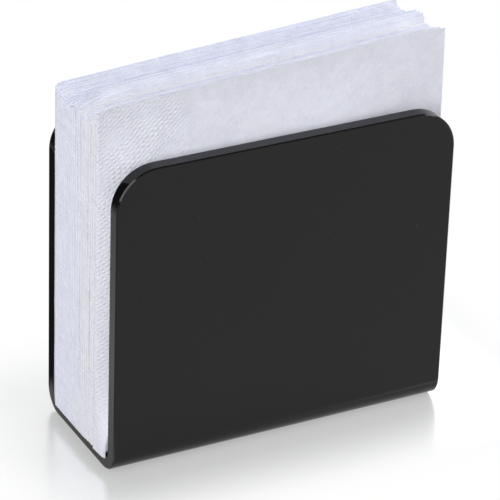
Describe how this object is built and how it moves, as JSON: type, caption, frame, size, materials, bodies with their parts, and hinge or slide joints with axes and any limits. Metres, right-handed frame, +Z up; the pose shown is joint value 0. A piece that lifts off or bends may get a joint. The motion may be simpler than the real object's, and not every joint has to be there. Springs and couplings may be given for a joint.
{
  "type": "napkin holder",
  "caption": "U-shaped napkin holder bent from one strip of black acrylic sheet, open at both ends, loaded with a row of folded paper napkins that lift out.",
  "frame": {"origin": "middle of the base's underside, where the holder stands on the table", "axes": "+X along the holder from the napkins' folds to their open edges, +Y from the front wall to the rear wall, +Z up"},
  "size_m": [0.154, 0.064, 0.1663],
  "materials": {
    "acrylic": "polished black acrylic sheet with polished, bevelled edges",
    "paper": "soft white tissue paper with an embossed border"
  },
  "bodies": {
    "holder": {"holder": "acrylic"},
    "napkin_01": {"napkin_01": "paper"},
    "napkin_02": {"napkin_02": "paper"},
    "napkin_03": {"napkin_03": "paper"},
    "napkin_04": {"napkin_04": "paper"},
    "napkin_05": {"napkin_05": "paper"},
    "napkin_06": {"napkin_06": "paper"},
    "napkin_07": {"napkin_07": "paper"},
    "napkin_08": {"napkin_08": "paper"},
    "napkin_09": {"napkin_09": "paper"},
    "napkin_10": {"napkin_10": "paper"},
    "napkin_11": {"napkin_11": "paper"},
    "napkin_12": {"napkin_12": "paper"},
    "napkin_13": {"napkin_13": "paper"},
    "napkin_14": {"napkin_14": "paper"},
    "napkin_15": {"napkin_15": "paper"},
    "napkin_16": {"napkin_16": "paper"},
    "napkin_17": {"napkin_17": "paper"},
    "napkin_18": {"napkin_18": "paper"},
    "napkin_19": {"napkin_19": "paper"},
    "napkin_20": {"napkin_20": "paper"},
    "napkin_21": {"napkin_21": "paper"},
    "napkin_22": {"napkin_22": "paper"},
    "napkin_23": {"napkin_23": "paper"},
    "front_napkin": {"front_napkin": "paper"}
  },
  "joints": [
    {"name": "napkin_01_lift", "type": "slide", "parent": "holder", "child": "napkin_01", "axis": [0, 0, 1], "range_m": [0, 0.165]},
    {"name": "napkin_02_lift", "type": "slide", "parent": "holder", "child": "napkin_02", "axis": [0, 0, 1], "range_m": [0, 0.165]},
    {"name": "napkin_03_lift", "type": "slide", "parent": "holder", "child": "napkin_03", "axis": [0, 0, 1], "range_m": [0, 0.165]},
    {"name": "napkin_04_lift", "type": "slide", "parent": "holder", "child": "napkin_04", "axis": [0, 0, 1], "range_m": [0, 0.165]},
    {"name": "napkin_05_lift", "type": "slide", "parent": "holder", "child": "napkin_05", "axis": [0, 0, 1], "range_m": [0, 0.165]},
    {"name": "napkin_06_lift", "type": "slide", "parent": "holder", "child": "napkin_06", "axis": [0, 0, 1], "range_m": [0, 0.165]},
    {"name": "napkin_07_lift", "type": "slide", "parent": "holder", "child": "napkin_07", "axis": [0, 0, 1], "range_m": [0, 0.165]},
    {"name": "napkin_08_lift", "type": "slide", "parent": "holder", "child": "napkin_08", "axis": [0, 0, 1], "range_m": [0, 0.165]},
    {"name": "napkin_09_lift", "type": "slide", "parent": "holder", "child": "napkin_09", "axis": [0, 0, 1], "range_m": [0, 0.165]},
    {"name": "napkin_10_lift", "type": "slide", "parent": "holder", "child": "napkin_10", "axis": [0, 0, 1], "range_m": [0, 0.165]},
    {"name": "napkin_11_lift", "type": "slide", "parent": "holder", "child": "napkin_11", "axis": [0, 0, 1], "range_m": [0, 0.165]},
    {"name": "napkin_12_lift", "type": "slide", "parent": "holder", "child": "napkin_12", "axis": [0, 0, 1], "range_m": [0, 0.165]},
    {"name": "napkin_13_lift", "type": "slide", "parent": "holder", "child": "napkin_13", "axis": [0, 0, 1], "range_m": [0, 0.165]},
    {"name": "napkin_14_lift", "type": "slide", "parent": "holder", "child": "napkin_14", "axis": [0, 0, 1], "range_m": [0, 0.165]},
    {"name": "napkin_15_lift", "type": "slide", "parent": "holder", "child": "napkin_15", "axis": [0, 0, 1], "range_m": [0, 0.165]},
    {"name": "napkin_16_lift", "type": "slide", "parent": "holder", "child": "napkin_16", "axis": [0, 0, 1], "range_m": [0, 0.165]},
    {"name": "napkin_17_lift", "type": "slide", "parent": "holder", "child": "napkin_17", "axis": [0, 0, 1], "range_m": [0, 0.165]},
    {"name": "napkin_18_lift", "type": "slide", "parent": "holder", "child": "napkin_18", "axis": [0, 0, 1], "range_m": [0, 0.165]},
    {"name": "napkin_19_lift", "type": "slide", "parent": "holder", "child": "napkin_19", "axis": [0, 0, 1], "range_m": [0, 0.165]},
    {"name": "napkin_20_lift", "type": "slide", "parent": "holder", "child": "napkin_20", "axis": [0, 0, 1], "range_m": [0, 0.165]},
    {"name": "napkin_21_lift", "type": "slide", "parent": "holder", "child": "napkin_21", "axis": [0, 0, 1], "range_m": [0, 0.165]},
    {"name": "napkin_22_lift", "type": "slide", "parent": "holder", "child": "napkin_22", "axis": [0, 0, 1], "range_m": [0, 0.165]},
    {"name": "napkin_23_lift", "type": "slide", "parent": "holder", "child": "napkin_23", "axis": [0, 0, 1], "range_m": [0, 0.165]},
    {"name": "front_napkin_lift", "type": "slide", "parent": "holder", "child": "front_napkin", "axis": [0, 0, 1], "range_m": [0, 0.165]}
  ]
}
